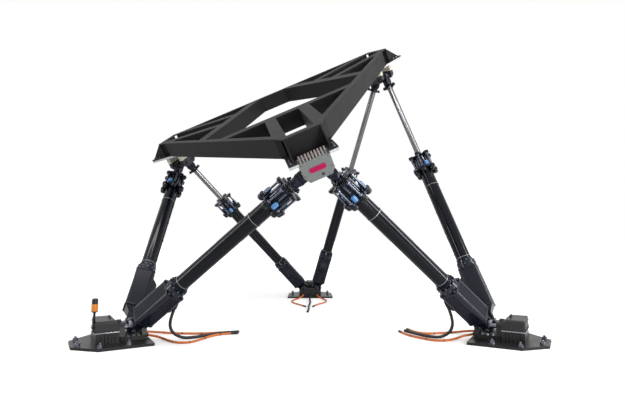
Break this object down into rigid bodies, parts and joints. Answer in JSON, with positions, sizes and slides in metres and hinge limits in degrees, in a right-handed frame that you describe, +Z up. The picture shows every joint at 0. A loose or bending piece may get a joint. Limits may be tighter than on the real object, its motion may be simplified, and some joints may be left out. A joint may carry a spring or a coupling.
{
  "type": "six-leg motion simulator platform",
  "caption": "Electric hexapod motion base: tilted triangular top frame on extending screw-driven legs that stand on bolted floor feet with drive cabinets.",
  "frame": {"origin": "on the floor midway between the three feet", "axes": "+Z up, +X to the right and +Y away from the front corner as seen in the picture"},
  "size_m": [5.6342, 5.7106, 4.3567],
  "materials": {
    "foot_plates": "black powder coat",
    "pedestals": "black powder coat",
    "cabinet_bases": "black anodised finned casting",
    "cabinet_covers": "dark grey textured paint",
    "anchor_nuts": "zinc plated",
    "beacon_mast": "blackened steel tube",
    "beacon_lens": "amber translucent lens",
    "beacon_cap": "black cap",
    "hose": "black corrugated conduit",
    "cord": "orange cable jacket",
    "connector": "black connector body",
    "frame": "charcoal matt paint",
    "adapter_plates": "machined plate",
    "joint_brackets": "light primer coat",
    "front_cover": "mid grey paint",
    "lower_cross": "machined steel",
    "motor_housing": "black gloss paint",
    "tube": "black gloss paint",
    "head_cage": "dark anodised",
    "rod": "hard chrome",
    "upper_cross": "machined steel"
  },
  "bodies": {
    "base": {"foot_plates": "foot_plates", "pedestals": "pedestals", "cabinet_bases": "cabinet_bases", "cabinet_covers": "cabinet_covers", "anchor_nuts": "anchor_nuts", "beacon_mast": "beacon_mast", "beacon_lens": "beacon_lens", "beacon_cap": "beacon_cap", "left_hose": "hose", "left_upper_cable": "cord", "left_lower_cable": "cord", "right_hose": "hose", "right_upper_cable": "cord", "right_lower_cable": "cord", "rear_left_cable": "cord", "rear_right_cable": "cord", "rear_hose": "hose", "cord_plugs": "connector", "cable_connectors": "connector"},
    "platform": {"frame": "frame", "adapter_plates": "adapter_plates", "joint_brackets": "joint_brackets", "front_cover": "front_cover"},
    "leg1_lower_joint": {"leg1_lower_cross": "lower_cross"},
    "leg1_cylinder": {"leg1_motor_housing": "motor_housing", "leg1_tube": "tube", "leg1_head_cage": "head_cage"},
    "leg1_rod_group": {"leg1_rod": "rod"},
    "leg1_upper_joint": {"leg1_upper_cross": "upper_cross"},
    "leg2_lower_joint": {"leg2_lower_cross": "lower_cross"},
    "leg2_cylinder": {"leg2_motor_housing": "motor_housing", "leg2_tube": "tube", "leg2_head_cage": "head_cage"},
    "leg2_rod_group": {"leg2_rod": "rod"},
    "leg2_upper_joint": {"leg2_upper_cross": "upper_cross"},
    "leg3_lower_joint": {"leg3_lower_cross": "lower_cross"},
    "leg3_cylinder": {"leg3_motor_housing": "motor_housing", "leg3_tube": "tube", "leg3_head_cage": "head_cage"},
    "leg3_rod_group": {"leg3_rod": "rod"},
    "leg3_upper_joint": {"leg3_upper_cross": "upper_cross"},
    "leg4_lower_joint": {"leg4_lower_cross": "lower_cross"},
    "leg4_cylinder": {"leg4_motor_housing": "motor_housing", "leg4_tube": "tube", "leg4_head_cage": "head_cage"},
    "leg4_rod_group": {"leg4_rod": "rod"},
    "leg4_upper_joint": {"leg4_upper_cross": "upper_cross"},
    "leg5_lower_joint": {"leg5_lower_cross": "lower_cross"},
    "leg5_cylinder": {"leg5_motor_housing": "motor_housing", "leg5_tube": "tube", "leg5_head_cage": "head_cage"},
    "leg5_rod_group": {"leg5_rod": "rod"},
    "leg5_upper_joint": {"leg5_upper_cross": "upper_cross"},
    "leg6_lower_joint": {"leg6_lower_cross": "lower_cross"},
    "leg6_cylinder": {"leg6_motor_housing": "motor_housing", "leg6_tube": "tube", "leg6_head_cage": "head_cage"},
    "leg6_rod_group": {"leg6_rod": "rod"},
    "leg6_upper_joint": {"leg6_upper_cross": "upper_cross"}
  },
  "joints": [
    {"name": "platform_tilt", "type": "hinge", "parent": "base", "child": "platform", "pos_m": [-2.1325, 0.71317, 2.44682], "axis": [0.5984, -0.7894, -0.1371], "range_deg": [-10, 0]},
    {"name": "leg1_swing", "type": "hinge", "parent": "base", "child": "leg1_lower_joint", "pos_m": [-2.22906, -1.13915, 0.183], "axis": [-0.866, -0.5, 0], "range_deg": [-0.23513, 0.05]},
    {"name": "leg1_lean", "type": "hinge", "parent": "leg1_lower_joint", "child": "leg1_cylinder", "pos_m": [-2.22906, -1.13915, 0.183], "axis": [-0.4132, 0.7157, -0.563], "range_deg": [-0.22334, 0.05]},
    {"name": "leg1_extend", "type": "slide", "parent": "leg1_cylinder", "child": "leg1_rod_group", "axis": [0.0239, 0.6266, 0.779], "range_m": [-0.0002, 0.00613]},
    {"name": "leg1_roll", "type": "hinge", "parent": "leg1_rod_group", "child": "leg1_upper_joint", "pos_m": [-2.16111, 0.64287, 2.39845], "axis": [0.4591, 0.6853, -0.5653], "range_deg": [-0.05, 2.27]},
    {"name": "leg2_swing", "type": "hinge", "parent": "base", "child": "leg2_lower_joint", "pos_m": [-2.10106, -1.36085, 0.183], "axis": [-0.866, -0.5, 0], "range_deg": [-0.05, 0.20555]},
    {"name": "leg2_lean", "type": "hinge", "parent": "leg2_lower_joint", "child": "leg2_cylinder", "pos_m": [-2.10106, -1.36085, 0.183], "axis": [-0.3544, 0.6138, 0.7055], "range_deg": [-0.261, 0.05]},
    {"name": "leg2_extend", "type": "slide", "parent": "leg2_cylinder", "child": "leg2_rod_group", "axis": [0.7348, -0.2838, 0.616], "range_m": [-0.0002, 0.00598]},
    {"name": "leg2_roll", "type": "hinge", "parent": "leg2_rod_group", "child": "leg2_upper_joint", "pos_m": [-0.03843, -2.15733, 1.91214], "axis": [-0.6754, -0.3896, 0.6262], "range_deg": [-0.05, 2.21]},
    {"name": "leg3_swing", "type": "hinge", "parent": "base", "child": "leg3_lower_joint", "pos_m": [2.10106, -1.36085, 0.183], "axis": [0.866, -0.5, 0], "range_deg": [-0.05, 0.12732]},
    {"name": "leg3_lean", "type": "hinge", "parent": "leg3_lower_joint", "child": "leg3_cylinder", "pos_m": [2.10106, -1.36085, 0.183], "axis": [-0.3658, -0.6336, -0.6817], "range_deg": [-0.05, 0.15971]},
    {"name": "leg3_extend", "type": "slide", "parent": "leg3_cylinder", "child": "leg3_rod_group", "axis": [-0.7079, -0.2861, 0.6458], "range_m": [-0.01225, 0.0002]},
    {"name": "leg3_roll", "type": "hinge", "parent": "leg3_rod_group", "child": "leg3_upper_joint", "pos_m": [0.12651, -2.15883, 1.9842], "axis": [-0.7009, 0.1721, -0.6921], "range_deg": [-0.05, 4.47]},
    {"name": "leg4_swing", "type": "hinge", "parent": "base", "child": "leg4_lower_joint", "pos_m": [2.22906, -1.13915, 0.183], "axis": [0.866, -0.5, 0], "range_deg": [-6.37, 0.05]},
    {"name": "leg4_lean", "type": "hinge", "parent": "leg4_lower_joint", "child": "leg4_cylinder", "pos_m": [2.22906, -1.13915, 0.183], "axis": [-0.4818, -0.8345, 0.2674], "range_deg": [-0.05, 1.76]},
    {"name": "leg4_extend", "type": "slide", "parent": "leg4_cylinder", "child": "leg4_rod_group", "axis": [-0.2313, 0.4155, 0.8797], "range_m": [-0.35259, 0.0002]},
    {"name": "leg4_roll", "type": "hinge", "parent": "leg4_rod_group", "child": "leg4_upper_joint", "pos_m": [1.25431, 0.61187, 3.89067], "axis": [0.1931, -0.8667, 0.46], "range_deg": [-4.66, 0.05]},
    {"name": "leg5_swing", "type": "hinge", "parent": "base", "child": "leg5_lower_joint", "pos_m": [0.128, 2.5, 0.183], "axis": [0, 1, 0], "range_deg": [-0.05, 4.8]},
    {"name": "leg5_lean", "type": "hinge", "parent": "leg5_lower_joint", "child": "leg5_cylinder", "pos_m": [0.128, 2.5, 0.183], "axis": [0.9647, 0, -0.2633], "range_deg": [-0.40294, 0.05]},
    {"name": "leg5_extend", "type": "slide", "parent": "leg5_cylinder", "child": "leg5_rod_group", "axis": [0.24, -0.4114, 0.8793], "range_m": [-0.45725, 0.0002]},
    {"name": "leg5_roll", "type": "hinge", "parent": "leg5_rod_group", "child": "leg5_upper_joint", "pos_m": [1.1466, 0.75396, 3.91535], "axis": [0.6941, -0.5605, -0.4517], "range_deg": [-6.22, 0.05]},
    {"name": "leg6_swing", "type": "hinge", "parent": "base", "child": "leg6_lower_joint", "pos_m": [-0.128, 2.5, 0.183], "axis": [0, 1, 0], "range_deg": [-0.13667, 0.05]},
    {"name": "leg6_lean", "type": "hinge", "parent": "leg6_lower_joint", "child": "leg6_cylinder", "pos_m": [-0.128, 2.5, 0.183], "axis": [0.7602, 0, 0.6497], "range_deg": [-0.05, 0.070351]},
    {"name": "leg6_extend", "type": "slide", "parent": "leg6_cylinder", "child": "leg6_rod_group", "axis": [-0.5658, -0.4915, 0.6621], "range_m": [-0.01293, 0.0002]},
    {"name": "leg6_roll", "type": "hinge", "parent": "leg6_rod_group", "child": "leg6_upper_joint", "pos_m": [-2.10388, 0.78346, 2.49519], "axis": [0.2335, 0.6745, 0.7003], "range_deg": [-0.05, 4.88]}
  ],
  "couplings": [
    {"joint": "leg1_swing", "follows": "platform_tilt", "ratio": 0.018513},
    {"joint": "leg1_lean", "follows": "platform_tilt", "ratio": 0.017334},
    {"joint": "leg1_extend", "follows": "platform_tilt", "m_per_rad": -0.033964},
    {"joint": "leg1_roll", "follows": "platform_tilt", "ratio": -0.22217},
    {"joint": "leg2_swing", "follows": "platform_tilt", "ratio": -0.015555},
    {"joint": "leg2_lean", "follows": "platform_tilt", "ratio": 0.0211},
    {"joint": "leg2_extend", "follows": "platform_tilt", "m_per_rad": -0.033146},
    {"joint": "leg2_roll", "follows": "platform_tilt", "ratio": -0.21634},
    {"joint": "leg3_swing", "follows": "platform_tilt", "ratio": -0.0077318},
    {"joint": "leg3_lean", "follows": "platform_tilt", "ratio": -0.010971},
    {"joint": "leg3_extend", "follows": "platform_tilt", "m_per_rad": 0.069042},
    {"joint": "leg3_roll", "follows": "platform_tilt", "ratio": -0.44221},
    {"joint": "leg4_swing", "follows": "platform_tilt", "ratio": 0.63235},
    {"joint": "leg4_lean", "follows": "platform_tilt", "ratio": -0.17094},
    {"joint": "leg4_extend", "follows": "platform_tilt", "m_per_rad": 2.0191},
    {"joint": "leg4_roll", "follows": "platform_tilt", "ratio": 0.46097},
    {"joint": "leg5_swing", "follows": "platform_tilt", "ratio": -0.47496},
    {"joint": "leg5_lean", "follows": "platform_tilt", "ratio": 0.035294},
    {"joint": "leg5_extend", "follows": "platform_tilt", "m_per_rad": 2.6187},
    {"joint": "leg5_roll", "follows": "platform_tilt", "ratio": 0.61661},
    {"joint": "leg6_swing", "follows": "platform_tilt", "ratio": 0.0086673},
    {"joint": "leg6_lean", "follows": "platform_tilt", "ratio": -0.0020351},
    {"joint": "leg6_extend", "follows": "platform_tilt", "m_per_rad": 0.072918},
    {"joint": "leg6_roll", "follows": "platform_tilt", "ratio": -0.48345}
  ]
}
